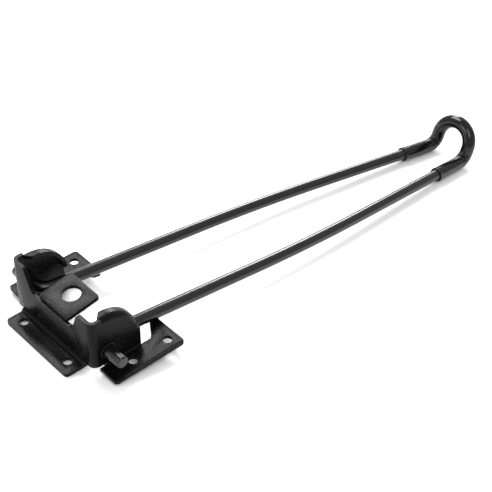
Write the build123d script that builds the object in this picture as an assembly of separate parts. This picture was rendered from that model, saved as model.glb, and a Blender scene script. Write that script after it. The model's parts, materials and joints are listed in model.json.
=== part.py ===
from build123d import *
import os
from math import cos, radians, sin, tan

# Fold-down wall rack: a pressed steel bracket and a one-piece hairpin rod arm
# whose stubs turn in the bracket's two cheeks.
# Frame: X across the bracket, Y from the top flange towards the arm's loop,
# Z out of the wall. The origin is the centre of the four side-plate holes,
# on the plane of the wall. Millimetres.

# Sheet and rod stock
SHEET = 3.0
ROD_R = 5.0
HOLE_R = 3.75

# Stations along Y
FLANGE_EDGE_Y = -62.15
WALL_Y = -45.0
FLANGE_HOLE_Y = -52.76
PLATE_FRONT_Y = -39.55
PLATE_BACK_Y = 25.35
PLATE_HOLE_Y = 16.25
PIVOT_Y = -31.15
CROWN_Y = PIVOT_Y

# Half widths along X
FLANGE_HALF = 38.5
FLANGE_HOLE_X = 27.55
CHEEK_X = 49.2
PLATE_X = 68.45
PLATE_HOLE_X = 58.48
LEG_ROOT_X = 34.8
STUB_END_X = 67.0

# Pressed bracket
EAR_TOP_Z = 47.8
LOW_WALL_Z = 29.0
EAR_FOOT_Z = 4.5
EAR_INNER_X = 33.0
SLOPE_FOOT_X = 25.0
CHEEK_BEND_R = 6.0
FLANGE_BEND_R = 2.5
CROWN_R = 29.8
CROWN_Z = EAR_TOP_Z - CROWN_R
DOME_INNER_X = 40.2
DOME_BEND_R = 5.0
DOME_BACK_ANGLE = 6.0
DOME_STRAIGHT = 4.0
RELIEF_DEPTH = 6.0

# Side plates with the tongue that carries the folded leg
TONGUE_TIP_X = 33.0
TONGUE_ROOT_Y = 10.5
TONGUE_FRONT_Y = 17.0
CORNER_R = 3.0

# Lock tab
TAB_WIDTH = 36.0
TAB_LENGTH = 31.0
TAB_RISE = 9.0
TAB_HOLE_R = 7.5
TAB_HOLE_FROM_FRONT = 18.0
TAB_FRONT_Y = -43.5

# Pivot bushes
BUSH_BORE_R = 5.06
BUSH_BARREL_R = 6.2
BUSH_R = 6.9
BUSH_COLLAR = 1.3

# Fillet welds
WELD_LEG = 2.2

# Arm, in its own plane: s along the legs from the pivot axis
REST_ANGLE = 8.3
ELBOW_R = 11.0
LEG_MID_S = 225.0
LEG_MID_X = 34.2
LOOP_R = 18.0
BEND_S = 450.0
LOOP_HEIGHT = 30.3
LOOP_LEAN = 5.4
LEG_BOW_R = 2000.0
SLEEVE_START_S = 404.6
SLEEVE_R = 6.5
SLEEVE_BORE_R = 5.05
STUB_ROUND = 1.2

# The folded leg lies on the tongue with this much air under it
TONGUE_GAP = 0.3
PIVOT_Z = (SHEET + TONGUE_GAP + ROD_R / cos(radians(REST_ANGLE))
           + tan(radians(REST_ANGLE)) * (PLATE_BACK_Y - PIVOT_Y))


def both_sides(shape):
    """The shape and its mirror image across the bracket's middle plane."""
    return shape + mirror(shape, about=Plane.YZ)


def plate_holes(centres):
    """Drills through the sheet lying on the wall."""
    drills = [Pos(x, y, 0) * Cylinder(HOLE_R, 4 * SHEET) for x, y in centres]
    return Compound(children=drills)


def front_profile():
    """Front wall seen along Y, from the flange's bend up to the two ears."""
    half = [
        (0, 0), (FLANGE_HALF, 0), (FLANGE_HALF, EAR_FOOT_Z),
        (CHEEK_X, EAR_FOOT_Z), (CHEEK_X, EAR_TOP_Z), (EAR_INNER_X, EAR_TOP_Z),
        (SLOPE_FOOT_X, LOW_WALL_Z), (0, LOW_WALL_Z),
    ]
    face = make_face(Polyline(half, close=True))
    top = face.vertices().filter_by(lambda v: abs(v.X - EAR_INNER_X) < 0.01)
    face = fillet(top, CORNER_R)
    foot = face.vertices().filter_by(lambda v: abs(v.X - SLOPE_FOOT_X) < 0.01)
    face = fillet(foot, 2 * CORNER_R)
    solid = extrude(Plane.XZ * face, amount=-(CROWN_Y - WALL_Y))
    return Pos(0, WALL_Y, 0) * both_sides(solid)


def cheek_profile():
    """Cheek seen along X: flat top, round crown and upright back edge."""
    back_y = CROWN_Y + CROWN_R
    outline = (
        Line((WALL_Y, 0), (WALL_Y, EAR_TOP_Z))
        + Line((WALL_Y, EAR_TOP_Z), (CROWN_Y, EAR_TOP_Z))
        + RadiusArc((CROWN_Y, EAR_TOP_Z), (back_y, CROWN_Z), CROWN_R)
        + Line((back_y, CROWN_Z), (back_y, 0))
        + Line((back_y, 0), (WALL_Y, 0))
    )
    return extrude(Plane.YZ * make_face(outline), amount=CHEEK_X, both=True)


def bent_wall():
    """Front wall and both cheeks as one bent strip, as tall as the ears."""
    back_y = CROWN_Y + CROWN_R
    depth = back_y - WALL_Y
    outer = Pos(0, WALL_Y + depth / 2) * Rectangle(2 * CHEEK_X, depth)
    outer = fillet(outer.vertices().group_by(Axis.Y)[0], CHEEK_BEND_R)
    inner = Pos(0, WALL_Y + depth / 2 + SHEET) * Rectangle(2 * (CHEEK_X - SHEET), depth)
    inner = fillet(inner.vertices().group_by(Axis.Y)[0], CHEEK_BEND_R - SHEET)
    return extrude(outer - inner, amount=EAR_TOP_Z)


def dome_section(root):
    """Cheek edge turned inboard, as x against height above the crown's centre."""
    out_r, in_r = DOME_BEND_R, DOME_BEND_R - SHEET
    inner_x = CHEEK_X - SHEET
    lines = (
        Line((CHEEK_X, root), (CHEEK_X, CROWN_R - out_r))
        + RadiusArc((CHEEK_X, CROWN_R - out_r), (CHEEK_X - out_r, CROWN_R), -out_r)
        + Line((CHEEK_X - out_r, CROWN_R), (DOME_INNER_X, CROWN_R))
        + Line((DOME_INNER_X, CROWN_R), (DOME_INNER_X, CROWN_R - SHEET))
        + Line((DOME_INNER_X, CROWN_R - SHEET), (inner_x - in_r, CROWN_R - SHEET))
        + RadiusArc((inner_x - in_r, CROWN_R - SHEET), (inner_x, CROWN_R - out_r), in_r)
        + Line((inner_x, CROWN_R - out_r), (inner_x, root))
        + Line((inner_x, root), (CHEEK_X, root))
    )
    return make_face(lines)


def dome_sector(section, angle):
    """Section turned from the crown's top towards the arm."""
    upright = Plane.XZ * section
    return Pos(0, CROWN_Y, CROWN_Z) * revolve(upright, Axis.X, -angle)


def dome_flange():
    """Rounded flange over one leg: a short straight lead and the round crown."""
    section = dome_section(CROWN_R - 2 * DOME_BEND_R)
    sweep_angle = 90.0 - DOME_BACK_ANGLE
    crown = dome_sector(section, sweep_angle)
    lead = Pos(0, CROWN_Y, CROWN_Z) * extrude(Plane.XZ * section, amount=DOME_STRAIGHT)
    slant = Polyline(
        (CHEEK_X - DOME_BEND_R, CROWN_Y - DOME_STRAIGHT), (DOME_INNER_X, CROWN_Y),
        (DOME_INNER_X - 1, CROWN_Y), (DOME_INNER_X - 1, CROWN_Y - 2 * DOME_STRAIGHT),
        (CHEEK_X - DOME_BEND_R, CROWN_Y - 2 * DOME_STRAIGHT), close=True)
    cutter = Pos(0, 0, CROWN_Z) * extrude(make_face(slant), amount=2 * CROWN_R)
    return crown + (lead - cutter)


def dome_clearing():
    """Sharp cheek edge taken away where the rounded flange replaces it."""
    root = CROWN_R - 2 * DOME_BEND_R
    strip = Pos(CHEEK_X - SHEET / 2, root + DOME_BEND_R) * Rectangle(2 * SHEET, 2 * DOME_BEND_R)
    crown = dome_sector(strip, 90.0 - DOME_BACK_ANGLE)
    lead = Pos(0, CROWN_Y, CROWN_Z) * extrude(Plane.XZ * strip, amount=DOME_STRAIGHT)
    return crown + lead


def top_flange():
    """Flange on the wall with its two holes and the bend into the front wall."""
    depth = WALL_Y + SHEET - FLANGE_EDGE_Y
    centre_y = FLANGE_EDGE_Y + depth / 2
    sheet = Pos(0, centre_y) * Rectangle(2 * FLANGE_HALF, depth)
    sheet = fillet(sheet.vertices().group_by(Axis.Y)[0], CORNER_R)
    flange = extrude(sheet, amount=SHEET)
    bend = make_face(
        Line((WALL_Y, SHEET), (WALL_Y - FLANGE_BEND_R, SHEET))
        + RadiusArc((WALL_Y - FLANGE_BEND_R, SHEET), (WALL_Y, SHEET + FLANGE_BEND_R), FLANGE_BEND_R)
        + Line((WALL_Y, SHEET + FLANGE_BEND_R), (WALL_Y, SHEET)))
    bend = extrude(Plane.YZ * bend, amount=FLANGE_HALF, both=True)
    holes = plate_holes([(-FLANGE_HOLE_X, FLANGE_HOLE_Y), (FLANGE_HOLE_X, FLANGE_HOLE_Y)])
    return flange + bend - holes


def bracket_shell():
    """One pressed sheet: top flange, front wall, cheeks and dome flanges."""
    walls = bent_wall()
    depth = CROWN_R + CROWN_Y - WALL_Y
    behind = Pos(0, WALL_Y + CHEEK_BEND_R + depth, EAR_TOP_Z / 2)
    behind = behind * Box(2 * CHEEK_X, 2 * depth, EAR_TOP_Z + 2)
    walls = walls & cheek_profile()
    walls = walls & (front_profile() + behind)
    walls = walls - both_sides(dome_clearing()) + both_sides(dome_flange())
    relief_y = WALL_Y + RELIEF_DEPTH
    for side in (-1, 1):
        bore = Pos(side * CHEEK_X, PIVOT_Y, PIVOT_Z) * Rot(0, 90, 0)
        walls -= bore * Cylinder(BUSH_BARREL_R, 4 * SHEET)
        walls -= Pos(side * CHEEK_X, relief_y, 0) * Cylinder(CHEEK_BEND_R, 2 * EAR_FOOT_Z)
    return walls + top_flange()


def side_plate(side):
    """Plate beside one cheek, with two holes and the tongue under the leg."""
    outline = Polyline(
        (CHEEK_X, PLATE_FRONT_Y), (PLATE_X, PLATE_FRONT_Y), (PLATE_X, PLATE_BACK_Y),
        (TONGUE_TIP_X, PLATE_BACK_Y), (TONGUE_TIP_X + 2, TONGUE_FRONT_Y + 1),
        (CHEEK_X - SHEET, TONGUE_ROOT_Y), (CHEEK_X, TONGUE_ROOT_Y - SHEET), close=True)
    face = make_face(outline)
    outer = face.vertices().filter_by(lambda v: v.X > PLATE_X - 1)
    face = fillet(outer, CORNER_R)
    tip = face.vertices().filter_by(lambda v: v.X < TONGUE_TIP_X + 3)
    face = fillet(tip, CORNER_R)
    plate = extrude(face, amount=SHEET)
    plate -= plate_holes([(PLATE_HOLE_X, -PLATE_HOLE_Y), (PLATE_HOLE_X, PLATE_HOLE_Y)])
    return plate if side > 0 else mirror(plate, about=Plane.YZ)


def foot_weld(side):
    """Fillet weld in the corner of the cheek and its side plate."""
    front = WALL_Y + RELIEF_DEPTH + CHEEK_BEND_R + 1
    back = CROWN_Y + CROWN_R - 1
    section = make_face(
        Line((CHEEK_X, SHEET), (CHEEK_X + WELD_LEG, SHEET))
        + RadiusArc((CHEEK_X + WELD_LEG, SHEET), (CHEEK_X, SHEET + WELD_LEG), -1.6 * WELD_LEG)
        + Line((CHEEK_X, SHEET + WELD_LEG), (CHEEK_X, SHEET)))
    bead = Pos(0, back, 0) * extrude(Plane.XZ * section, amount=back - front)
    return bead if side > 0 else mirror(bead, about=Plane.YZ)


def tab_place():
    """Where the tab's front edge sits, tipped up towards the arm."""
    return Pos(0, TAB_FRONT_Y, LOW_WALL_Z) * Rot(TAB_RISE, 0, 0)


def lock_tab():
    """Square tab on the middle of the front wall, with its lock hole."""
    sheet = Pos(0, TAB_LENGTH / 2) * Rectangle(TAB_WIDTH, TAB_LENGTH)
    sheet = fillet(sheet.vertices(), CORNER_R)
    sheet -= Pos(0, TAB_HOLE_FROM_FRONT) * Circle(TAB_HOLE_R)
    return tab_place() * extrude(sheet, amount=SHEET)


def tab_weld():
    """Weld that closes the wedge between the wall's inner edge and the tab."""
    inner_y = WALL_Y + SHEET
    slope = tan(radians(TAB_RISE))
    start_z = LOW_WALL_Z + slope * (inner_y - TAB_FRONT_Y)
    end_z = LOW_WALL_Z + slope * (inner_y + WELD_LEG - TAB_FRONT_Y)
    section = Polyline((inner_y, LOW_WALL_Z - WELD_LEG), (inner_y, start_z),
                       (inner_y + WELD_LEG, end_z), close=True)
    half = TAB_WIDTH / 2 - CORNER_R
    return extrude(Plane.YZ * make_face(section), amount=half, both=True)


def pivot_bush(side):
    """Flanged bush pressed into the cheek, in which the stub turns."""
    barrel = Cylinder(BUSH_BARREL_R, SHEET, align=(Align.CENTER, Align.CENTER, Align.MAX))
    collar = Cylinder(BUSH_R, BUSH_COLLAR, align=(Align.CENTER, Align.CENTER, Align.MIN))
    rim = collar.edges().filter_by(GeomType.CIRCLE).group_by(Axis.Z)[-1]
    bush = barrel + fillet(rim, BUSH_COLLAR / 3) - Cylinder(BUSH_BORE_R, 6 * SHEET)
    bush = Pos(CHEEK_X, PIVOT_Y, PIVOT_Z) * Rot(0, 90, 0) * bush
    return bush if side > 0 else mirror(bush, about=Plane.YZ)


def arm_path(start_points, start_radii):
    """Centre line of the arm, from the given points on one leg round to the other."""
    rise = LOOP_HEIGHT - LOOP_R
    lean = LOOP_LEAN / LOOP_HEIGHT
    loop_foot = (LOOP_R, BEND_S + rise * lean, rise)
    loop_top = (0, BEND_S + LOOP_LEAN, LOOP_HEIGHT)
    up = Vector(0, lean, 1).normalized()
    run = FilletPolyline(*start_points, (LOOP_R, BEND_S, 0), loop_foot, radius=start_radii)
    quarter = LOOP_R * sin(radians(45))
    middle = Vector(quarter, loop_foot[1], loop_foot[2]) + up * quarter
    crown = ThreePointArc(loop_foot, middle, loop_top)
    half = [*run.edges(), *crown.edges()]
    return Wire(half + [edge.mirror(Plane.YZ) for edge in half])


def swept(radius, start_points, start_radii):
    """Round bar of one radius along the arm's centre line."""
    path = arm_path(start_points, start_radii)
    section = Plane(origin=path @ 0, z_dir=path % 0) * Circle(radius)
    return sweep(section, path=path)


def arm_place():
    """The arm at rest, its stubs on the pivot axis and its legs on the tongues."""
    return Pos(0, PIVOT_Y, PIVOT_Z) * Rot(-REST_ANGLE, 0, 0)


def leg_point(s):
    """Centre of the leg between its middle and the loop's bend."""
    share = (s - LEG_MID_S) / (BEND_S - LEG_MID_S)
    return (LEG_MID_X + share * (LOOP_R - LEG_MID_X), s, 0)


def arm_rod():
    """One bent rod: stub, elbow, leg, turned-up loop, leg, elbow and stub.

    It is cut at the middle of each leg's bow, so that hulls round its three
    lengths follow the bow.
    """
    points = [(STUB_END_X, 0, 0), (LEG_ROOT_X, 0, 0), (LEG_MID_X, LEG_MID_S, 0)]
    rod = swept(ROD_R, points, [ELBOW_R, LEG_BOW_R, ELBOW_R])
    ends = rod.edges().filter_by(GeomType.CIRCLE).filter_by(
        lambda e: abs(abs(e.center().X) - STUB_END_X) < 0.01)
    rod = fillet(ends, STUB_ROUND)
    cut = Plane(origin=(0, LEG_MID_S, 0), x_dir=(1, 0, 0), z_dir=(0, 1, 0))
    loop = split(rod, bisect_by=cut, keep=Keep.TOP).solids()
    roots = split(rod, bisect_by=cut, keep=Keep.BOTTOM).solids().sort_by(Axis.X)
    names = ("left_rod_root", "right_rod_root", "rod_loop")
    return {name: arm_place() * solid for name, solid in zip(names, [*roots, *loop], strict=True)}


def grip_sleeve():
    """Soft tube over the loop and its two bends."""
    points = [leg_point(SLEEVE_START_S)]
    outer = swept(SLEEVE_R, points, [ELBOW_R])
    bore = swept(SLEEVE_BORE_R, points, [ELBOW_R])
    return arm_place() * (outer - bore)


def main():
    os.makedirs("parts", exist_ok=True)
    nodes = {
        "bracket_shell": bracket_shell(),
        "lock_tab": lock_tab(),
        "tab_weld": tab_weld(),
        **arm_rod(),
        "grip_sleeve": grip_sleeve(),
    }
    for name, side in (("left", -1), ("right", 1)):
        nodes[f"{name}_side_plate"] = side_plate(side)
        nodes[f"{name}_foot_weld"] = foot_weld(side)
        nodes[f"{name}_pivot_bush"] = pivot_bush(side)
    for name, shape in nodes.items():
        shape.label = name
        export_step(shape, f"parts/{name}.step")


main()
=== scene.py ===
"""Looks of a fold-down wall rack with a hairpin rod arm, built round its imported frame.

The bracket's pressed sheets get rounded edges and a powder coat, the arm is a smooth coated rod, and its
turned-up loop wears a glossy vinyl sleeve that wrinkles inside its two bends. Lengths are in metres.
"""

import json
import logging
import math
from dataclasses import dataclass, field
from enum import Enum
from typing import Callable, Iterable, Optional, Sequence, Union

import bmesh
import bpy
from mathutils import Matrix, Vector, noise

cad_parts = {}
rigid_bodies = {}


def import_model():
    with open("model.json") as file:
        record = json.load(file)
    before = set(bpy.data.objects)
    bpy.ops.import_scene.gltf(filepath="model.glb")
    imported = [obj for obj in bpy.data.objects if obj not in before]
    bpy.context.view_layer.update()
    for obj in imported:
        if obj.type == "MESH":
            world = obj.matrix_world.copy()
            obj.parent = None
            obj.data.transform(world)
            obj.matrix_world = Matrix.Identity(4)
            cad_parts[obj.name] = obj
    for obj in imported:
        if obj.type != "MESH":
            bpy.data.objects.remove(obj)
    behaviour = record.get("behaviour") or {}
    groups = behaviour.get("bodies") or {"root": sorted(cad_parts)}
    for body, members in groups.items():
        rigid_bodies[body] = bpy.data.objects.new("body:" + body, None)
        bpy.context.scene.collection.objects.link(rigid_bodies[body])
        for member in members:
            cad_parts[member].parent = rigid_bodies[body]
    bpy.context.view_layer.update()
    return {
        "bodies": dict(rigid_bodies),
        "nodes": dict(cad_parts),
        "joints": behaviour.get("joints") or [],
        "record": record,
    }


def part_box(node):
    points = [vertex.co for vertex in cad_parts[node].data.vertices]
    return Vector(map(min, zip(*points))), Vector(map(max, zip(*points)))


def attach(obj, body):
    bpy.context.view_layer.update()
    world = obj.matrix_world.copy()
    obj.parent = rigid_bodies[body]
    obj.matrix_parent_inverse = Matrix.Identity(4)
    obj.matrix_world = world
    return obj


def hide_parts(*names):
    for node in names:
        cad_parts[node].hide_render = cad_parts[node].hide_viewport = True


LOG = logging.getLogger("wall_rack")
MM = 0.001
BRACKET = "bracket"
ARM = "arm"
MERGE_GAP = 0.002 * MM
FLAT_ANGLE = math.radians(0.5)
BEVEL_ANGLE = math.radians(35.0)
BEVEL_STEPS = 3
ARC_STEPS = (4, 60)


class Side(Enum):
    """The two mirrored sides of the bracket, by the sign of X."""

    LEFT = -1
    RIGHT = 1

    @property
    def word(self) -> str:
        """Name of the side as the frame's nodes spell it."""
        return self.name.lower()


# --- Shader maths -------------------------------------------------------------------------------------------

Term = Union["Wire", float, int]


class Wire:
    """One output socket that can be used in Python expressions.

    Args:
        tree: Node tree that the socket belongs to.
        socket: The output socket itself.
    """

    def __init__(self, tree: bpy.types.NodeTree, socket: bpy.types.NodeSocket) -> None:
        """Hold the tree and its socket."""
        self.tree = tree
        self.socket = socket

    def _math(self, operation: str, first: Term, second: Term) -> "Wire":
        """Add one Math node.

        Args:
            operation: The Math node's operation.
            first: First value or wire.
            second: Second value or wire.

        Returns:
            The node's output.
        """
        node = self.tree.nodes.new("ShaderNodeMath")
        node.operation = operation
        for slot, term in zip(node.inputs, (first, second)):
            if isinstance(term, Wire):
                self.tree.links.new(term.socket, slot)
            else:
                slot.default_value = float(term)
        return Wire(self.tree, node.outputs[0])

    def __add__(self, other: Term) -> "Wire":
        """Sum of two values."""
        return self._math("ADD", self, other)

    def __radd__(self, other: Term) -> "Wire":
        """Sum with a plain number on the left."""
        return self._math("ADD", other, self)

    def __sub__(self, other: Term) -> "Wire":
        """Difference of two values."""
        return self._math("SUBTRACT", self, other)

    def __rsub__(self, other: Term) -> "Wire":
        """A plain number less this value."""
        return self._math("SUBTRACT", other, self)

    def __mul__(self, other: Term) -> "Wire":
        """Product of two values."""
        return self._math("MULTIPLY", self, other)

    def __rmul__(self, other: Term) -> "Wire":
        """Product with a plain number on the left."""
        return self._math("MULTIPLY", other, self)

    def clamped(self) -> "Wire":
        """This value held between 0 and 1."""
        held = self._math("MAXIMUM", self, 0.0)
        return held._math("MINIMUM", held, 1.0)


class Recipe:
    """A material under construction, with a Principled shader at its end.

    Args:
        name: The material's name.
    """

    def __init__(self, name: str) -> None:
        """Start the material with its shader and output."""
        self.material = bpy.data.materials.new(name)
        self.material.use_nodes = True
        self.tree = self.material.node_tree
        self.tree.nodes.clear()
        self.shader = self.tree.nodes.new("ShaderNodeBsdfPrincipled")
        output = self.tree.nodes.new("ShaderNodeOutputMaterial")
        self.tree.links.new(self.shader.outputs[0], output.inputs[0])

    def node(self, kind: str, settings: Optional[dict] = None, output: Union[int, str] = 0,
             **inputs: object) -> Wire:
        """Add any node.

        Args:
            kind: Blender's type of the node.
            settings: Attributes to set first.
            output: Which output to return.
            **inputs: Values or wires, with underscores for spaces in a socket's name.

        Returns:
            The chosen output.
        """
        node = self.tree.nodes.new(kind)
        for key, value in (settings or {}).items():
            setattr(node, key, value)
        self._fill(node, inputs)
        return Wire(self.tree, node.outputs[output])

    def _fill(self, node: bpy.types.Node, inputs: dict) -> None:
        """Set or link a node's sockets.

        Args:
            node: The node.
            inputs: Values or wires, with underscores for spaces in a socket's name.
        """
        for key, value in inputs.items():
            slot = node.inputs[key.replace("_", " ")]
            if isinstance(value, Wire):
                self.tree.links.new(value.socket, slot)
            else:
                slot.default_value = value

    def place(self) -> Wire:
        """Position on the object, in metres."""
        return self.node("ShaderNodeTexCoord", output="Object")

    def grain(self, size: float, detail: float = 2.0, roughness: float = 0.5) -> Wire:
        """Noise with cells of about one size.

        Args:
            size: Width of one cell in metres.
            detail: Octaves of finer noise.
            roughness: Weight of the finer octaves.

        Returns:
            The noise from 0 to 1.
        """
        return self.node("ShaderNodeTexNoise", Vector=self.place(), Scale=1.0 / size, Detail=detail,
                         Roughness=roughness)

    def blend(self, share: Wire, low: Sequence[float], high: Sequence[float]) -> Wire:
        """Mix two colours.

        Args:
            share: 0 for the first colour, 1 for the second.
            low: First colour, linear.
            high: Second colour, linear.

        Returns:
            The mixed colour.
        """
        mix = self.tree.nodes.new("ShaderNodeMix")
        mix.data_type = "RGBA"
        self.tree.links.new(share.socket, mix.inputs[0])
        mix.inputs[6].default_value = (*low, 1.0)
        mix.inputs[7].default_value = (*high, 1.0)
        return Wire(self.tree, mix.outputs[2])

    def bump(self, height: Wire, depth: float, under: Optional[Wire] = None) -> Wire:
        """Turn a height into a normal.

        Args:
            height: Height from 0 to 1.
            depth: Height of the full step in metres.
            under: Normal that this one lies on, if any.

        Returns:
            The bumped normal.
        """
        inputs = {"Height": height, "Distance": depth, "Strength": 1.0}
        if under is not None:
            inputs["Normal"] = under
        return self.node("ShaderNodeBump", **inputs)

    def feed(self, **inputs: object) -> None:
        """Set or link the shader's own sockets, with underscores for spaces."""
        self._fill(self.shader, inputs)


# --- Finishes -----------------------------------------------------------------------------------------------

@dataclass(frozen=True)
class PowderCoat:
    """Baked powder coat: near black, semi-gloss, with fine orange peel.

    Args:
        name: The material's name.
        dark: Darker tone of the coat.
        pale: Paler tone of the coat.
        gloss_low: Roughness in the smoothest patches.
        gloss_high: Roughness in the roughest patches.
        peel: Width of one orange-peel cell.
        peel_depth: Height of the orange peel.
        specular: Strength of the mirror-like part.
        cloud: Width of one soft patch of tone and gloss.
        wave: Width of one slow wave in the coat.
        wave_depth: Height of those waves.
        fleck_tone: Share of the flecks in the tone.
        cloud_tone: Share of the patches in the tone.
        fleck_gloss: Share of the flecks in the gloss.
    """

    name: str
    dark: tuple = (0.0018, 0.0018, 0.0020)
    pale: tuple = (0.0060, 0.0060, 0.0064)
    gloss_low: float = 0.17
    gloss_high: float = 0.42
    peel: float = 1.5 * MM
    peel_depth: float = 0.16 * MM
    specular: float = 0.09
    cloud: float = 14 * MM
    wave: float = 6 * MM
    wave_depth: float = 0.02 * MM
    fleck_tone: float = 1.5
    cloud_tone: float = 0.8
    fleck_gloss: float = 1.8

    def make(self) -> bpy.types.Material:
        """Build the material."""
        mix = Recipe(self.name)
        cloud = mix.grain(self.cloud, detail=3.0)
        fleck = mix.grain(self.peel, roughness=0.7)
        tone = ((fleck - 0.5) * self.fleck_tone + cloud * self.cloud_tone).clamped()
        colour = mix.blend(tone, self.dark, self.pale)
        patch = ((fleck - 0.5) * self.fleck_gloss + cloud).clamped()
        rough = self.gloss_low + (self.gloss_high - self.gloss_low) * patch
        peel = mix.grain(self.peel, roughness=0.55)
        wave = mix.bump(mix.grain(self.wave), self.wave_depth)
        skin = mix.bump(peel, self.peel_depth, under=wave)
        mix.feed(Base_Color=colour, Roughness=rough, Normal=skin, Specular_IOR_Level=self.specular)
        return mix.material


@dataclass(frozen=True)
class Vinyl:
    """Glossy black vinyl with drawn-out streaks along the tube.

    Args:
        name: The material's name.
        dark: Darker tone.
        pale: Paler, faintly violet tone.
        streaks: Streaks round the tube, read from its UV map.
        stretch: Streaks' changes in one metre of the tube.
        cloud: Width of one soft patch of tone and gloss.
        gloss_low: Roughness in the smoothest patches.
        gloss_span: How much rougher the roughest patches are.
        dimple: Width of one soft dimple.
        dimple_depth: Depth of the dimples.
        streak_depth: Depth of the streaks.
        specular: Strength of the mirror-like part.
        coat: Weight of the clear film.
        coat_rough: Roughness of the clear film.
    """

    name: str
    dark: tuple = (0.0012, 0.0012, 0.0016)
    pale: tuple = (0.0040, 0.0036, 0.0056)
    streaks: float = 46.0
    stretch: float = 6.0
    cloud: float = 9 * MM
    gloss_low: float = 0.08
    gloss_span: float = 0.12
    dimple: float = 2.4 * MM
    dimple_depth: float = 0.05 * MM
    streak_depth: float = 0.10 * MM
    specular: float = 0.20
    coat: float = 0.25
    coat_rough: float = 0.04

    def make(self) -> bpy.types.Material:
        """Build the material."""
        mix = Recipe(self.name)
        cloud = mix.grain(self.cloud, detail=3.0)
        colour = mix.blend(cloud, self.dark, self.pale)
        around = mix.node("ShaderNodeUVMap", {"uv_map": "wrap"})
        drawn = mix.node("ShaderNodeMapping", Vector=around, Scale=(self.stretch, self.streaks, 1.0))
        streak = mix.node("ShaderNodeTexNoise", Vector=drawn, Scale=1.0, Detail=2.0)
        rough = self.gloss_low + self.gloss_span * (0.5 * cloud + 0.5 * streak)
        soft = mix.bump(mix.grain(self.dimple), self.dimple_depth)
        skin = mix.bump(streak, self.streak_depth, under=soft)
        mix.feed(Base_Color=colour, Roughness=rough, Normal=skin, Specular_IOR_Level=self.specular,
                 Coat_Weight=self.coat, Coat_Roughness=self.coat_rough)
        return mix.material


@dataclass(frozen=True)
class PaleFloor:
    """Matte white table top.

    Args:
        name: The material's name.
        low: Darker tone.
        high: Paler tone.
        cloud: Width of one soft patch of tone.
        gloss: Roughness.
        specular: Strength of the mirror-like part.
    """

    name: str = "pale_table"
    low: tuple = (0.93, 0.93, 0.93)
    high: tuple = (0.96, 0.96, 0.96)
    cloud: float = 40 * MM
    gloss: float = 0.9
    specular: float = 0.05

    def make(self) -> bpy.types.Material:
        """Build the material."""
        mix = Recipe(self.name)
        colour = mix.blend(mix.grain(self.cloud), self.low, self.high)
        mix.feed(Base_Color=colour, Roughness=self.gloss, Specular_IOR_Level=self.specular)
        return mix.material


@dataclass
class Finishes:
    """Every finish of the rack, made once."""

    sheet: bpy.types.Material = field(default_factory=lambda: PowderCoat("powder_coat").make())
    rod: bpy.types.Material = field(default_factory=lambda: PowderCoat(
        "coated_rod", gloss_low=0.18, gloss_high=0.27, peel=1.6 * MM, peel_depth=0.02 * MM,
        specular=0.45).make())
    weld: bpy.types.Material = field(default_factory=lambda: PowderCoat(
        "coated_weld", gloss_low=0.34, gloss_high=0.52, peel=0.6 * MM, peel_depth=0.03 * MM).make())
    nylon: bpy.types.Material = field(default_factory=lambda: PowderCoat(
        "nylon_bush", dark=(0.003, 0.003, 0.0034), pale=(0.007, 0.007, 0.0075), gloss_low=0.34,
        gloss_high=0.50, peel=0.5 * MM, peel_depth=0.01 * MM, specular=0.12).make())
    vinyl: bpy.types.Material = field(default_factory=lambda: Vinyl("sleeve_vinyl").make())
    floor: bpy.types.Material = field(default_factory=lambda: PaleFloor().make())


# --- Mesh helpers -------------------------------------------------------------------------------------------

def add_piece(name: str, mesh: bpy.types.Mesh, material: bpy.types.Material) -> bpy.types.Object:
    """Put a finished mesh in the scene as one object.

    Args:
        name: The piece's name.
        mesh: Its mesh, already in place.
        material: Its finish.

    Returns:
        The new object at the origin.
    """
    mesh.name = name
    mesh.materials.clear()
    mesh.materials.append(material)
    piece = bpy.data.objects.new(name, mesh)
    bpy.context.collection.objects.link(piece)
    return piece


def settled(piece: bpy.types.Object) -> bpy.types.Object:
    """Turn a piece's modifiers into plain mesh.

    Args:
        piece: Object with live modifiers.

    Returns:
        The same object with a plain mesh.
    """
    graph = bpy.context.evaluated_depsgraph_get()
    plain = bpy.data.meshes.new_from_object(piece.evaluated_get(graph))
    piece.modifiers.clear()
    piece.data = plain
    return piece


def smooth_faces(mesh: bpy.types.Mesh, sharp_from: float = 32.0) -> None:
    """Shade a mesh smooth, except over sharp edges.

    Args:
        mesh: Mesh to shade.
        sharp_from: Angle in degrees from which an edge stays sharp.
    """
    mesh.shade_smooth()
    mesh.set_sharp_from_angle(angle=math.radians(sharp_from))


def eased_copy(node: bpy.types.Object, name: str, material: bpy.types.Material,
               ease: float) -> bpy.types.Object:
    """Copy a frame node with its sharp edges rounded, as a press and a thick coat leave them.

    Args:
        node: The frame's node.
        name: Name of the new piece.
        material: Its finish.
        ease: Width of the rounding.

    Returns:
        The new piece.
    """
    body = bmesh.new()
    body.from_mesh(node.data)
    bmesh.ops.remove_doubles(body, verts=body.verts, dist=MERGE_GAP)
    bmesh.ops.dissolve_limit(body, angle_limit=FLAT_ANGLE, verts=body.verts, edges=body.edges)
    bmesh.ops.recalc_face_normals(body, faces=body.faces)
    mesh = bpy.data.meshes.new(name)
    body.to_mesh(mesh)
    body.free()
    piece = add_piece(name, mesh, material)
    rounding = piece.modifiers.new("rounding", "BEVEL")
    rounding.width = ease
    rounding.segments = BEVEL_STEPS
    rounding.limit_method = "ANGLE"
    rounding.angle_limit = BEVEL_ANGLE
    rounding.use_clamp_overlap = True
    settled(piece)
    smooth_faces(piece.data)
    return piece


# --- The arm's line -----------------------------------------------------------------------------------------

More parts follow.
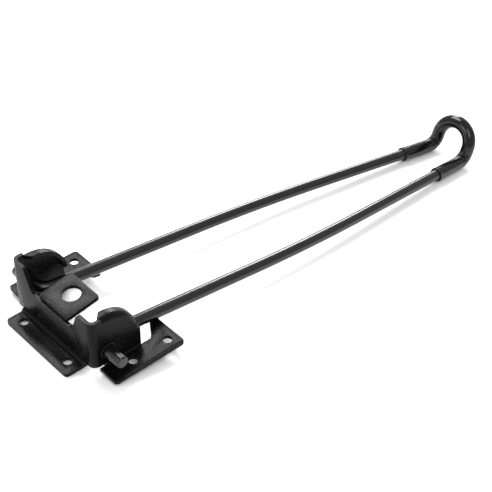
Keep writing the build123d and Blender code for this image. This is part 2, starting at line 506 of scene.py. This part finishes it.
@dataclass(frozen=True)
class ArmLine:
    """Centre line of the arm, from its right stub round the loop to its left stub.

    Args:
        pivot: A point on the pivot axis, in the middle plane.
        rest_angle: How far the folded arm leans towards the wall, in degrees.
        stub_end: Half distance between the stubs' ends.
        root: Half distance between the legs at the pivot.
        waist: Half distance between the legs at their middle.
        waist_reach: Distance of that middle from the pivot axis.
        bend_reach: Distance of the loop's bend from the pivot axis.
        loop_radius: Radius of the loop.
        loop_height: Height of the loop's top over the legs.
        loop_lean: How far the loop's top leans outward.
        elbow: Radius of the elbows and of the loop's bends.
        bow: Radius of the legs' gentle bow.
    """

    pivot: Vector
    rest_angle: float = 8.3
    stub_end: float = 67.0 * MM
    root: float = 34.8 * MM
    waist: float = 34.2 * MM
    waist_reach: float = 225.0 * MM
    bend_reach: float = 450.0 * MM
    loop_radius: float = 18.0 * MM
    loop_height: float = 30.3 * MM
    loop_lean: float = 5.4 * MM
    elbow: float = 11.0 * MM
    bow: float = 2000.0 * MM

    def corners(self) -> list[tuple[Vector, float]]:
        """Corners of the right half with the radius at each, in the arm's own plane."""
        rise = self.loop_height - self.loop_radius
        lean = self.loop_lean / self.loop_height
        return [
            (Vector((self.stub_end, 0, 0)), 0.0),
            (Vector((self.root, 0, 0)), self.elbow),
            (Vector((self.waist, self.waist_reach, 0)), self.bow),
            (Vector((self.loop_radius, self.bend_reach, 0)), self.elbow),
            (Vector((self.loop_radius, self.bend_reach + rise * lean, rise)), 0.0),
        ]

    def half(self, step: float) -> list[Vector]:
        """Points of the right half, evenly close, in the arm's own plane.

        Args:
            step: Largest distance between two points on a bend.

        Returns:
            The points from the stub's end to the loop's top.
        """
        corners = self.corners()
        points = [corners[0][0]]
        for (before, _), (corner, radius), (after, _) in zip(corners, corners[1:], corners[2:]):
            points += rounded_corner(before, corner, after, radius, step)
        foot = corners[-1][0]
        points.append(foot)
        up = Vector((0, self.loop_lean, self.loop_height)).normalized()
        centre = Vector((0, foot.y, foot.z))
        turns = math.ceil(self.loop_radius * math.pi / 2 / step)
        for index in range(1, turns + 1):
            angle = math.pi / 2 * index / turns
            side = Vector((1, 0, 0)) * math.cos(angle)
            points.append(centre + self.loop_radius * (side + up * math.sin(angle)))
        return points

    def whole(self, step: float) -> list[Vector]:
        """Points of the whole arm at rest, in the frame.

        Args:
            step: Largest distance between two points on a bend.

        Returns:
            The points from the right stub's end to the left stub's end.
        """
        right = self.half(step)
        left = [Vector((-point.x, point.y, point.z)) for point in reversed(right[:-1])]
        return [self.placed(point) for point in right + left]

    def placed(self, point: Vector) -> Vector:
        """Take a point from the arm's own plane to its place at rest."""
        turn = Matrix.Rotation(-math.radians(self.rest_angle), 3, "X")
        return self.pivot + turn @ point


def rounded_corner(before: Vector, corner: Vector, after: Vector, radius: float,
                   step: float) -> list[Vector]:
    """Points of the arc that rounds one corner of a line.

    Args:
        before: Point before the corner.
        corner: The corner.
        after: Point after the corner.
        radius: Radius of the arc.
        step: Largest distance between points.

    Returns:
        The arc's points, ends included.
    """
    back = (before - corner).normalized()
    ahead = (after - corner).normalized()
    turn = math.pi - back.angle(ahead)
    reach = radius * math.tan(turn / 2)
    centre = corner + (back + ahead).normalized() * (radius / math.cos(turn / 2))
    start = corner + back * reach - centre
    axis = start.cross(corner + ahead * reach - centre).normalized()
    fewest, most = ARC_STEPS
    count = min(most, max(fewest, math.ceil(radius * turn / step)))
    return [centre + Matrix.Rotation(turn * index / count, 3, axis) @ start for index in range(count + 1)]


def lengths_along(points: Sequence[Vector]) -> list[float]:
    """Distance of each point from the first, along the line."""
    total = [0.0]
    for first, second in zip(points, points[1:]):
        total.append(total[-1] + (second - first).length)
    return total


def tube(name: str, points: Sequence[Vector], radius_at: Callable[[int, float], float],
         sides: int) -> bpy.types.Mesh:
    """Closed tube round a line, whose frame is carried along without twist.

    Args:
        name: Name of the mesh.
        points: The line.
        radius_at: Radius from the point's number and the angle round the tube.
        sides: Faces round the tube.

    Returns:
        The mesh, with the UV map "wrap": metres along, turns round.
    """
    body = bmesh.new()
    wrap = body.loops.layers.uv.new("wrap")
    along = lengths_along(points)
    normal = Vector((0, 0, 1))
    rings: list[list[bmesh.types.BMVert]] = []
    for index, point in enumerate(points):
        ahead = points[min(index + 1, len(points) - 1)]
        behind = points[max(index - 1, 0)]
        tangent = (ahead - behind).normalized()
        normal = (normal - tangent * normal.dot(tangent)).normalized()
        across = tangent.cross(normal)
        ring = []
        for number in range(sides):
            angle = 2 * math.pi * number / sides
            direction = normal * math.cos(angle) + across * math.sin(angle)
            ring.append(body.verts.new(point + direction * radius_at(index, angle)))
        rings.append(ring)
    for index, (low, high) in enumerate(zip(rings, rings[1:])):
        for number in range(sides):
            after = (number + 1) % sides
            face = body.faces.new((low[number], low[after], high[after], high[number]))
            spots = ((index, number), (index, number + 1), (index + 1, number + 1), (index + 1, number))
            for loop, (step, turn) in zip(face.loops, spots):
                loop[wrap].uv = (along[step], turn / sides)
    for ring in (rings[0], rings[-1]):
        body.faces.new(ring)
    bmesh.ops.recalc_face_normals(body, faces=body.faces)
    mesh = bpy.data.meshes.new(name)
    body.to_mesh(mesh)
    body.free()
    return mesh


# --- Sub-assemblies -----------------------------------------------------------------------------------------

@dataclass
class Bracket:
    """Pressed shell, side plates, lock tab and pivot bushes.

    Args:
        frame: The loaded frame.
        finishes: The rack's finishes.
        edge: Rounding of the sheet's edges.
        bush_edge: Rounding of the bushes' edges.
    """

    frame: dict
    finishes: Finishes
    edge: float = 0.55 * MM
    bush_edge: float = 0.3 * MM

    def build(self) -> list[bpy.types.Object]:
        """Make the bracket's pieces."""
        pieces = [self._sheet("bracket_shell"), self._sheet("lock_tab")]
        for side in Side:
            pieces.append(self._sheet(f"{side.word}_side_plate"))
            pieces.append(self._eased(f"{side.word}_pivot_bush", self.finishes.nylon, self.bush_edge))
        return pieces

    def _sheet(self, node: str) -> bpy.types.Object:
        """Replace one node of pressed sheet."""
        return self._eased(node, self.finishes.sheet, self.edge)

    def _eased(self, node: str, finish: bpy.types.Material, ease: float) -> bpy.types.Object:
        """Replace one node by its copy with rounded edges.

        Args:
            node: The node's name.
            finish: Its finish.
            ease: Width of the rounding.

        Returns:
            The new piece.
        """
        piece = eased_copy(self.frame["nodes"][node], f"{node}_pressed", finish, ease)
        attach(piece, BRACKET)
        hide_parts(node)
        return piece


@dataclass
class WeldBeads:
    """Rippled weld beads along the plates' seams.

    Args:
        frame: The loaded frame.
        finishes: The rack's finishes.
        pitch: Distance between two ripples.
        swell: Width of a ripple, as a share of the bead's width.
        plump: Radius of a ripple, as a share of its width.
        sink: How far the line of the tab's bead lies under the top of its node.
        sharp_from: Angle in degrees from which the crease between two ripples stays sharp.
        smallest: Size of the smallest ripple, as a share of the usual one.
        largest: Size of the largest ripple, as a share of the usual one.
        seed: Seed of the ripples' sizes.
    """

    frame: dict
    finishes: Finishes
    pitch: float = 1.5 * MM
    swell: float = 1.05
    plump: float = 0.78
    sink: float = 0.3 * MM
    sharp_from: float = 60.0
    smallest: float = 0.90
    largest: float = 1.06
    seed: int = 7

    def build(self) -> list[bpy.types.Object]:
        """Make the bracket's three beads."""
        pieces = []
        for side in Side:
            node = f"{side.word}_foot_weld"
            low, high = map(Vector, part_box(node))
            inner_x = low.x if side is Side.RIGHT else high.x
            start = Vector((inner_x, low.y, low.z))
            end = Vector((inner_x, high.y, low.z))
            pieces.append(self._bead(node, start, end, high.x - low.x))
        low, high = map(Vector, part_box("tab_weld"))
        start = Vector((low.x, low.y, high.z - self.sink))
        end = Vector((high.x, low.y, high.z - self.sink))
        pieces.append(self._bead("tab_weld", start, end, high.y - low.y))
        return pieces

    def _bead(self, node: str, start: Vector, end: Vector, width: float) -> bpy.types.Object:
        """Lay one bead of overlapping ripples along a seam.

        Args:
            node: The frame's node that the bead replaces.
            start: Start of the seam.
            end: End of the seam.
            width: The bead's reach from the seam.

        Returns:
            The new piece.
        """
        margin = width * self.swell / 2
        way = (end - start).normalized()
        tree = self._tree(f"{node}_ripples")
        carrier = add_piece(f"{node}_bead", bpy.data.meshes.new(node), self.finishes.weld)
        layer = carrier.modifiers.new("ripples", "NODES")
        layer.node_group = tree
        wanted = {
            "Start": tuple(start + way * margin),
            "End": tuple(end - way * margin),
            "Count": max(2, round(((end - start).length - 2 * margin) / self.pitch)),
            "Radius": width * self.swell * self.plump,
            "Material": self.finishes.weld,
        }
        for item in tree.interface.items_tree:
            if item.item_type == "SOCKET" and item.in_out == "INPUT" and item.name in wanted:
                layer[item.identifier] = wanted[item.name]
        settled(carrier)
        smooth_faces(carrier.data, self.sharp_from)
        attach(carrier, BRACKET)
        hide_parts(node)
        return carrier

    def _tree(self, name: str) -> bpy.types.NodeTree:
        """Geometry Nodes that lay round ripples on a line.

        Args:
            name: Name of the tree.

        Returns:
            The tree, with inputs Start, End, Count, Radius and Material.
        """
        tree = bpy.data.node_groups.new(name, "GeometryNodeTree")
        face = tree.interface
        face.new_socket("Geometry", in_out="INPUT", socket_type="NodeSocketGeometry")
        for label, kind in (("Start", "NodeSocketVector"), ("End", "NodeSocketVector"),
                            ("Count", "NodeSocketInt"), ("Radius", "NodeSocketFloat"),
                            ("Material", "NodeSocketMaterial")):
            face.new_socket(label, in_out="INPUT", socket_type=kind)
        face.new_socket("Geometry", in_out="OUTPUT", socket_type="NodeSocketGeometry")
        nodes, links = tree.nodes, tree.links
        given = nodes.new("NodeGroupInput")
        line = nodes.new("GeometryNodeMeshLine")
        line.mode = "END_POINTS"
        links.new(given.outputs["Count"], line.inputs["Count"])
        links.new(given.outputs["Start"], line.inputs["Start Location"])
        links.new(given.outputs["End"], line.inputs["Offset"])
        ball = nodes.new("GeometryNodeMeshIcoSphere")
        ball.inputs["Subdivisions"].default_value = 3
        links.new(given.outputs["Radius"], ball.inputs["Radius"])
        wobble = nodes.new("FunctionNodeRandomValue")
        wobble.data_type = "FLOAT"
        wobble.inputs[2].default_value = self.smallest
        wobble.inputs[3].default_value = self.largest
        wobble.inputs["Seed"].default_value = self.seed
        laid = nodes.new("GeometryNodeInstanceOnPoints")
        links.new(line.outputs["Mesh"], laid.inputs["Points"])
        links.new(ball.outputs["Mesh"], laid.inputs["Instance"])
        links.new(wobble.outputs[1], laid.inputs["Scale"])
        real = nodes.new("GeometryNodeRealizeInstances")
        links.new(laid.outputs["Instances"], real.inputs["Geometry"])
        dressed = nodes.new("GeometryNodeSetMaterial")
        links.new(real.outputs["Geometry"], dressed.inputs["Geometry"])
        links.new(given.outputs["Material"], dressed.inputs["Material"])
        result = nodes.new("NodeGroupOutput")
        links.new(dressed.outputs["Geometry"], result.inputs["Geometry"])
        return tree


@dataclass
class Arm:
    """The hairpin rod and the sleeve over its loop.

    Args:
        line: The arm's centre line.
        finishes: The rack's finishes.
        rod_nodes: The frame's nodes that make up the rod.
        rod_radius: Radius of the rod.
        stub_round: Rounding of the stubs' ends.
        rim: Places of the rings on that rounding, as shares of it.
        sleeve_radius: Outer radius of the sleeve.
        sleeve_start: Distance of the sleeve's ends from the pivot axis.
        lip: How far each end of the sleeve swells.
        wrinkle: Height of the wrinkles inside the bends.
        pinch: Depth of the one sharp crease in the middle of each bend.
        wrinkle_pitch: Distance between two wrinkles.
        bend_spread: How far the wrinkles reach from the middle of a bend.
        lip_place: Distance of a lip's crest from the sleeve's end, and the lip's half width.
        end_round: Rounding of the sleeve's ends.
        flow: How fast the sleeve's soft unevenness changes, in turns of noise to the metre.
        flow_round: How much of it changes round the tube.
        flow_depth: Height of that unevenness.
        inset: How far a bend's middle lies inside its corner, along and across the legs.
        inner_falloff: How sharply the wrinkles fade away from a bend's inner side.
        crest_level: Height about which the wrinkles rise and fall, as a share of their own.
        wrinkle_edge: Sharpness of the wrinkles' edges.
        wander: How far the wrinkles wander round the tube, in radians.
        pinch_width: Half width of the sharp crease.
        ridge: Height of the ridges beside the crease, as a share of its depth.
        ridge_place: Distance of those ridges from the crease.
        ridge_width: Half width of those ridges.
        rod_step: Distance between two rings of the rod's bends.
        rod_sides: Faces round the rod.
        sleeve_step: Distance between two rings of the sleeve.
        sleeve_sides: Faces round the sleeve.
    """

    line: ArmLine
    finishes: Finishes
    rod_nodes: Sequence[str]
    rod_radius: float = 5.0 * MM
    stub_round: float = 1.2 * MM
    rim: tuple = (0.08, 0.3, 0.6, 1.0)
    sleeve_radius: float = 6.4 * MM
    sleeve_start: float = 404.6 * MM
    lip: float = 0.35 * MM
    wrinkle: float = 0.65 * MM
    pinch: float = 0.9 * MM
    wrinkle_pitch: float = 3.4 * MM
    bend_spread: float = 9.0 * MM
    lip_place: float = 0.9 * MM
    end_round: float = 0.8 * MM
    flow: float = 90.0
    flow_round: float = 0.7
    flow_depth: float = 0.10 * MM
    inset: float = 3.2 * MM
    inner_falloff: float = 1.4
    crest_level: float = 0.25
    wrinkle_edge: float = 0.7
    wander: float = 0.5
    pinch_width: float = 1.1 * MM
    ridge: float = 0.6
    ridge_place: float = 2.6 * MM
    ridge_width: float = MM
    rod_step: float = 0.8 * MM
    rod_sides: int = 48
    sleeve_step: float = 0.55 * MM
    sleeve_sides: int = 64

    def build(self) -> list[bpy.types.Object]:
        """Make the rod and the sleeve."""
        return [self._rod(), self._sleeve()]

    def _rod(self) -> bpy.types.Object:
        """The coated rod, with rounded stub ends."""
        points = self.line.whole(self.rod_step)
        first, last = points[0], points[-1]
        inward = (points[1] - first).normalized()
        rim = [self.stub_round * share for share in self.rim]
        points = ([first] + [first + inward * depth for depth in rim] + points[1:-1]
                  + [last - inward * depth for depth in reversed(rim)] + [last])
        along = lengths_along(points)

        def radius_at(index: int, _angle: float) -> float:
            """Radius of the rod, less at its rounded ends."""
            depth = min(along[index], along[-1] - along[index])
            if depth >= self.stub_round:
                return self.rod_radius
            gap = self.stub_round - depth
            return self.rod_radius - self.stub_round + math.sqrt(self.stub_round ** 2 - gap ** 2)

        mesh = tube("arm_rod", points, radius_at, self.rod_sides)
        smooth_faces(mesh, 40.0)
        piece = add_piece("arm_rod_coated", mesh, self.finishes.rod)
        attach(piece, ARM)
        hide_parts(*self.rod_nodes)
        return piece

    def _sleeve(self) -> bpy.types.Object:
        """The vinyl sleeve, lipped at its ends and wrinkled inside its bends."""
        whole = self.line.whole(self.sleeve_step)
        start = self.line.placed(Vector((0, self.sleeve_start, 0)))
        way = (self.line.placed(Vector((0, 1, 0))) - self.line.placed(Vector((0, 0, 0)))).normalized()
        kept = [point for point in whole if (point - start).dot(way) > 0]
        ends = self._on_leg(Side.RIGHT), self._on_leg(Side.LEFT)
        points = evened([ends[0], *kept, ends[1]], self.sleeve_step)
        along = lengths_along(points)
        bends = self._bend_middles(points, along)
        total = along[-1]

        def radius_at(index: int, angle: float) -> float:
            """Radius of the sleeve with its lips and wrinkles."""
            place = along[index]
            depth = min(place, total - place)
            crest = math.exp(-((depth - self.lip_place) / self.lip_place) ** 2)
            radius = self.sleeve_radius + self.lip * crest
            if depth < self.end_round:
                gap = self.end_round - depth
                radius -= self.end_round - math.sqrt(max(0.0, self.end_round ** 2 - gap ** 2))
            for middle, inner in bends:
                radius += self._fold(place - middle, angle - inner)
            round_tube = Vector((math.cos(angle), math.sin(angle), 0)) * self.flow_round
            return radius + self.flow_depth * noise.noise(points[index] * self.flow + round_tube)

        mesh = tube("grip_sleeve", points, radius_at, self.sleeve_sides)
        smooth_faces(mesh, 50.0)
        piece = add_piece("grip_sleeve_vinyl", mesh, self.finishes.vinyl)
        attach(piece, ARM)
        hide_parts("grip_sleeve")
        return piece

    def _on_leg(self, side: Side) -> Vector:
        """Where the sleeve starts on one leg."""
        line = self.line
        share = (self.sleeve_start - line.waist_reach) / (line.bend_reach - line.waist_reach)
        across = line.waist + share * (line.loop_radius - line.waist)
        return line.placed(Vector((side.value * across, self.sleeve_start, 0)))

    def _bend_middles(self, points: Sequence[Vector], along: Sequence[float]) -> list[tuple[float, float]]:
        """Distance along the sleeve and inner angle of each of its two bends.

        Args:
            points: The sleeve's centre line.
            along: Distance of each point from the first.

        Returns:
            One pair for each bend: distance along, angle of its inner side.
        """
        normal = Vector((0, 0, 1))
        corner_y = self.line.placed(Vector((0, self.line.bend_reach - self.inset, 0))).y
        corner_z = self.line.placed(Vector((0, self.line.bend_reach, self.inset))).z
        inner_way = self.line.placed(Vector((0, -1, 1))) - self.line.placed(Vector((0, 0, 0)))
        nearest: dict[int, tuple[float, float, float]] = {}
        for index in range(1, len(points) - 1):
            tangent = (points[index + 1] - points[index - 1]).normalized()
            normal = (normal - tangent * normal.dot(tangent)).normalized()
            across = tangent.cross(normal)
            sign = 1 if points[index].x > 0 else -1
            off = math.hypot(points[index].y - corner_y, points[index].z - corner_z)
            if sign not in nearest or off < nearest[sign][0]:
                angle = math.atan2(inner_way.dot(across), inner_way.dot(normal))
                nearest[sign] = (off, along[index], angle)
        return [(place, angle) for _, place, angle in nearest.values()]

    def _fold(self, offset: float, turn: float) -> float:
        """Height of the gathered folds near one bend.

        Args:
            offset: Distance along the sleeve from the middle of the bend.
            turn: Angle from the bend's inner side.

        Returns:
            Change of the radius.
        """
        reach = math.exp(-(offset / self.bend_spread) ** 2)
        inner = max(0.0, math.cos(turn)) ** self.inner_falloff
        crease = math.cos(2 * math.pi * offset / self.wrinkle_pitch + self.wander * math.sin(3 * turn))
        sharp = 1.0 - abs(crease) ** self.wrinkle_edge
        beside = math.exp(-((abs(offset) - self.ridge_place) / self.ridge_width) ** 2)
        middle = math.exp(-(offset / self.pinch_width) ** 2) - self.ridge * beside
        return inner * (self.wrinkle * reach * (self.crest_level - sharp) - self.pinch * middle)


def evened(points: Sequence[Vector], step: float) -> list[Vector]:
    """Resample a line at even distances.

    Args:
        points: The line.
        step: Wanted distance.

    Returns:
        Points on the line, ends included.
    """
    along = lengths_along(points)
    count = round(along[-1] / step)
    result = []
    place = 0
    for index in range(count + 1):
        wanted = along[-1] * index / count
        while place < len(points) - 2 and along[place + 1] < wanted:
            place += 1
        span = along[place + 1] - along[place]
        share = (wanted - along[place]) / span if span else 0.0
        result.append(points[place].lerp(points[place + 1], share))
    return result


# --- The studio ---------------------------------------------------------------------------------------------

@dataclass
class Studio:
    """Table, lights and camera.

    Args:
        finishes: The rack's finishes.
        tip: How far the bracket is tipped on the table, in radians.
        eye: The camera's place.
        azimuth: Compass angle of the view's direction, from +Y towards -X, in degrees.
        descent: How far the view looks down, in degrees.
        roll: The camera's roll, in degrees.
        lens: Focal length on the camera's sensor, in millimetres.
        sensor: Width of the sensor, in millimetres.
        nearest: Shortest distance that the camera sees.
        sky: Strength of the pale sky.
        floor_size: Half width of the table top.
        floor_gap: How far the table top lies under the edge that rests on it.
        boxes: Name, place, aim, width and power in watts of each soft box.
    """

    finishes: Finishes
    tip: float
    eye: Vector = field(default_factory=lambda: Vector((0.577477, -0.388294, 0.659028)))
    azimuth: float = 47.07
    descent: float = 40.65
    roll: float = 1.086
    lens: float = 90.70
    sensor: float = 36.0
    nearest: float = 0.01
    sky: float = 0.74
    floor_size: float = 4.0
    floor_gap: float = 0.2 * MM
    boxes: tuple = (
        ("top_box", (-0.98, 0.42, 1.30), (0.0, 0.08, 0.0), 0.86, 29.0),
        ("back_box", (-1.06, 1.36, 0.68), (0.0, 0.0, 0.0), 0.60, 18.0),
        ("near_box", (-0.35, -1.60, 1.20), (0.0, 0.1, 0.0), 0.80, 9.0),
        ("front_box", (1.00, -0.30, 1.50), (0.0, 0.2, 0.0), 1.0, 12.0),
    )

    def build(self) -> None:
        """Set the studio up."""
        bpy.context.scene.view_settings.view_transform = "Standard"
        self._floor()
        self._sky()
        for box in self.boxes:
            self._soft_box(*box)
        self._camera()

    def _floor(self) -> None:
        """White table top that the tipped bracket's edge and the loop's bends touch."""
        edge = Vector(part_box("bracket_shell")[0])
        body = bmesh.new()
        bmesh.ops.create_grid(body, x_segments=1, y_segments=1, size=self.floor_size)
        mesh = bpy.data.meshes.new("table_top")
        body.to_mesh(mesh)
        body.free()
        tilt = Matrix.Rotation(-self.tip, 4, "X")
        mesh.transform(Matrix.Translation((0, edge.y, edge.z - self.floor_gap)) @ tilt)
        add_piece("table_top", mesh, self.finishes.floor)

    def _sky(self) -> None:
        """Even pale light from all round."""
        world = bpy.data.worlds.new("studio_air")
        bpy.context.scene.world = world
        world.use_nodes = True
        sky = world.node_tree.nodes["Background"]
        sky.inputs["Color"].default_value = (1.0, 1.0, 1.0, 1.0)
        sky.inputs["Strength"].default_value = self.sky

    def _soft_box(self, name: str, place: tuple, aim: tuple, size: float, power: float) -> None:
        """Add one square soft box.

        Args:
            name: The light's name.
            place: Where it hangs.
            aim: What it points at.
            size: Its width.
            power: Its power in watts.
        """
        lamp = bpy.data.lights.new(name, "AREA")
        lamp.size = size
        lamp.energy = power
        holder = bpy.data.objects.new(name, lamp)
        holder.location = place
        way = Vector(aim) - Vector(place)
        holder.rotation_euler = way.to_track_quat("-Z", "Y").to_euler()
        bpy.context.collection.objects.link(holder)

    def _camera(self) -> None:
        """Camera at the usual three-quarter view from above the bracket's end."""
        lens = bpy.data.cameras.new("studio_camera")
        lens.lens = self.lens
        lens.sensor_width = self.sensor
        lens.clip_start = self.nearest
        holder = bpy.data.objects.new("studio_camera", lens)
        turn = (Matrix.Rotation(math.radians(self.azimuth), 4, "Z")
                @ Matrix.Rotation(math.radians(90.0 - self.descent), 4, "X")
                @ Matrix.Rotation(math.radians(self.roll), 4, "Z"))
        holder.matrix_world = Matrix.Translation(self.eye) @ turn
        bpy.context.collection.objects.link(holder)
        bpy.context.scene.camera = holder


def pivot_point(frame: dict) -> Vector:
    """Place of the arm's hinge, from the frame's joints."""
    joint = next(item for item in frame["record"]["behaviour"]["joints"] if item["name"] == "arm_fold")
    return Vector(joint["pos_m"])


def rod_nodes(frame: dict) -> list[str]:
    """Names of the frame's nodes that make up the rod."""
    parts = frame["record"]["subparts"]
    return [part["node"] for part in parts if part["material_slot"] == "coated_rod"]


def resting_tip(frame: dict) -> float:
    """Tip in radians of the folded rack on a table, on its top flange's edge and the loop's bends."""
    edge = Vector(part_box("bracket_shell")[0])
    sleeve = frame["nodes"]["grip_sleeve"].data.vertices
    return max(math.atan2(edge.z - spot.co.z, spot.co.y - edge.y) for spot in sleeve)


def report(pieces: Iterable[bpy.types.Object]) -> None:
    """Log the triangles of each piece."""
    for piece in pieces:
        triangles = sum(len(face.vertices) - 2 for face in piece.data.polygons)
        LOG.info("%s: %d triangles", piece.name, triangles)


def main() -> None:
    """Build every piece round the frame."""
    logging.basicConfig(level=logging.INFO, format="%(name)s %(message)s")
    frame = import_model()
    finishes = Finishes()
    line = ArmLine(pivot=pivot_point(frame))
    report(Bracket(frame, finishes).build())
    report(WeldBeads(frame, finishes).build())
    report(Arm(line, finishes, rod_nodes(frame)).build())
    Studio(finishes, resting_tip(frame)).build()


if __name__ == "__main__":
    main()
